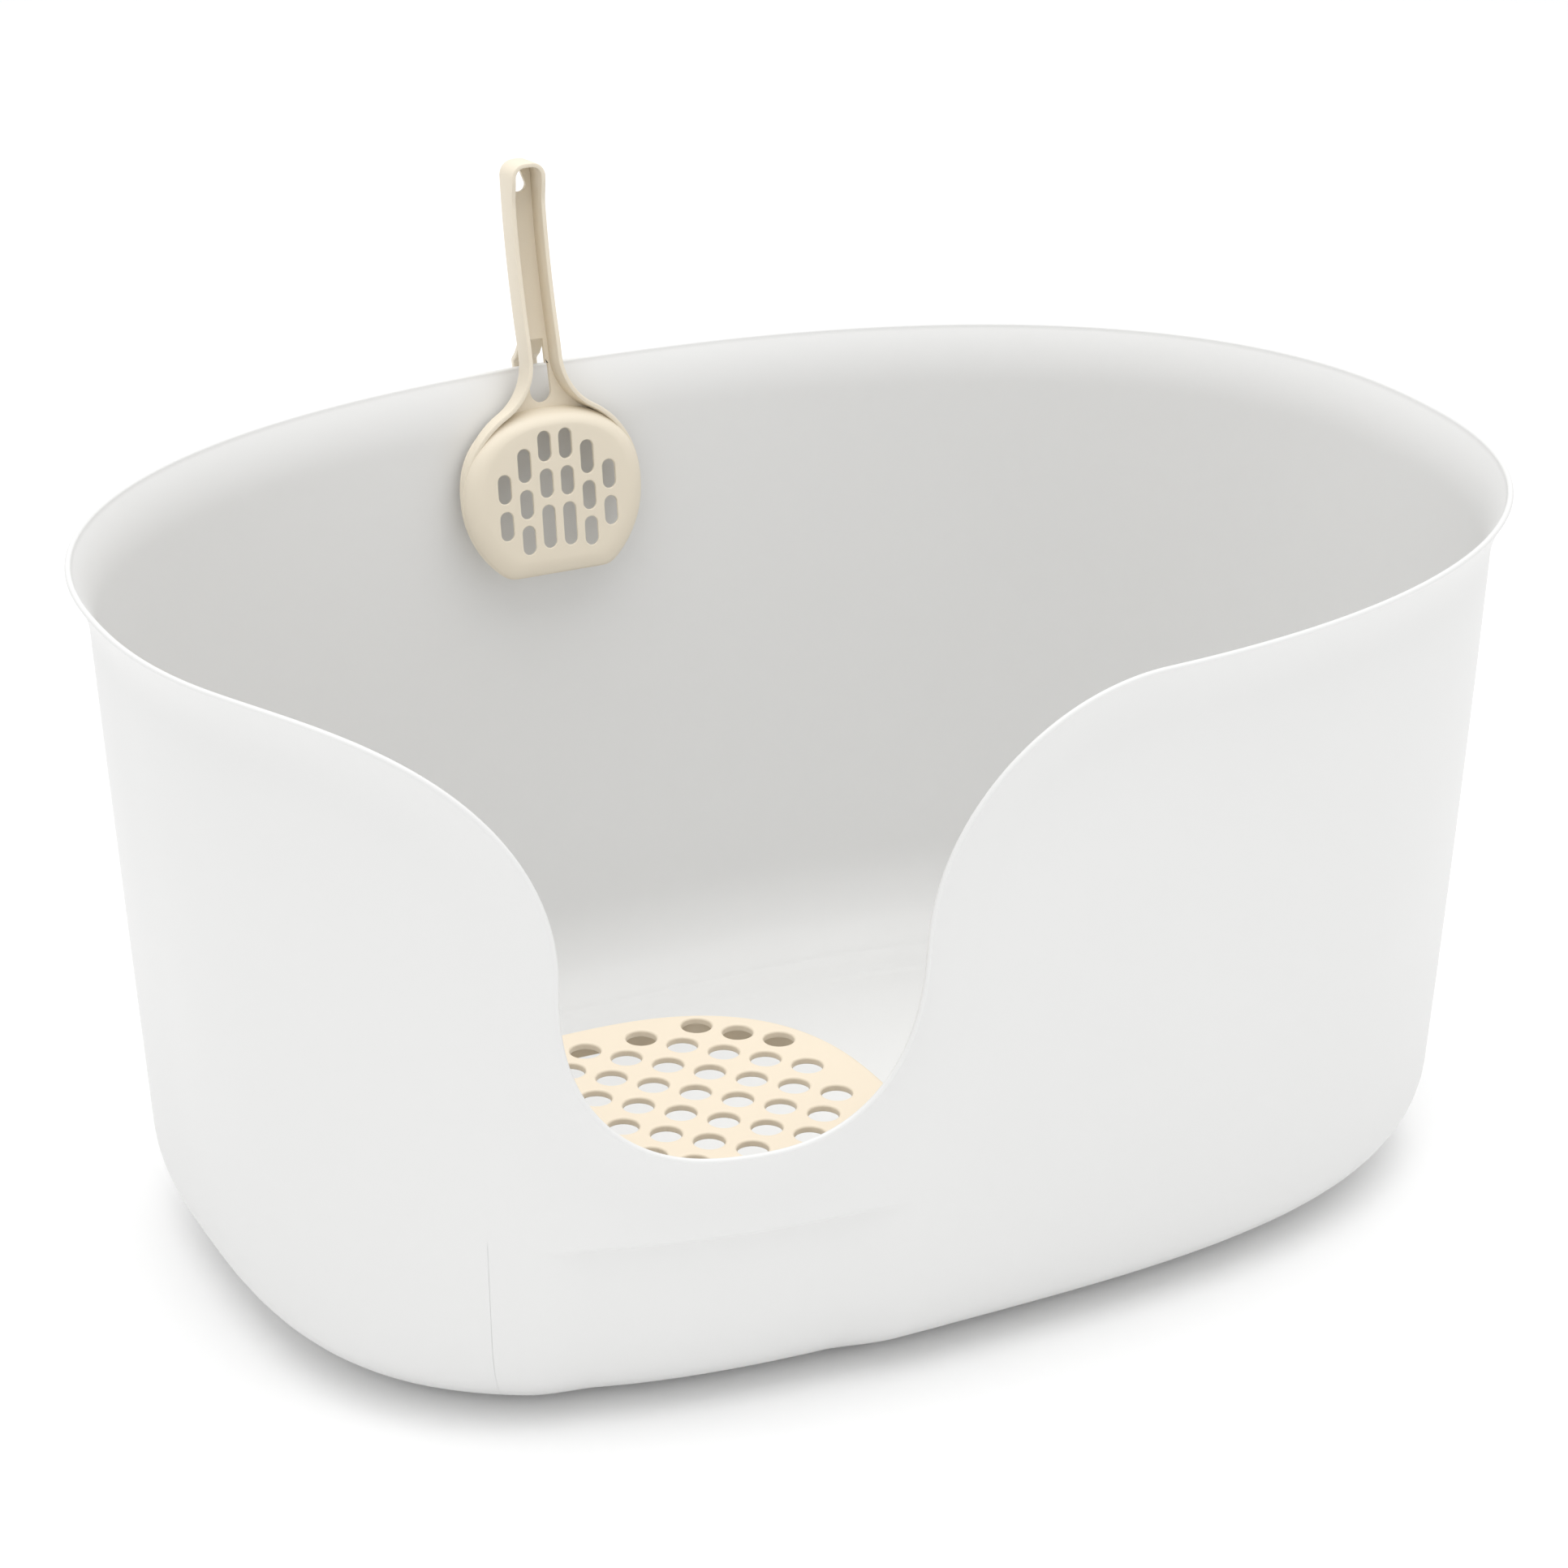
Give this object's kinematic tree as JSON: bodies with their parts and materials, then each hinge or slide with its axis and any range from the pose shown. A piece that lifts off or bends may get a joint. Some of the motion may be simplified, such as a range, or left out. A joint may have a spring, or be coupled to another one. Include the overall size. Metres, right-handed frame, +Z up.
{
  "type": "open top litter box with scoop",
  "caption": "High-walled oval litter tub with a low off-centre entry, a perforated step grate that lifts out, and a scoop hooked on the back rim.",
  "frame": {"origin": "on the floor, under the middle of the tub's oval base", "axes": "+X along the tub's length to the right, -Y towards the low entry, +Z up"},
  "size_m": [0.5995, 0.4273, 0.3915],
  "materials": {
    "tub": "satin injection-moulded polypropylene, white",
    "grate": "satin injection-moulded polypropylene, cream",
    "scoop": "satin injection-moulded polypropylene, cream"
  },
  "bodies": {
    "tub_body": {"tub": "tub"},
    "grate_body": {"step_grate": "grate"},
    "scoop_body": {"scoop": "scoop"}
  },
  "joints": [
    {"name": "scoop_lift", "type": "slide", "parent": "tub_body", "child": "scoop_body", "axis": [0, 0.2504, 0.9681], "range_m": [0, 0.13]},
    {"name": "grate_lift", "type": "slide", "parent": "tub_body", "child": "grate_body", "axis": [0, 0, 1], "range_m": [0, 0.32]}
  ]
}
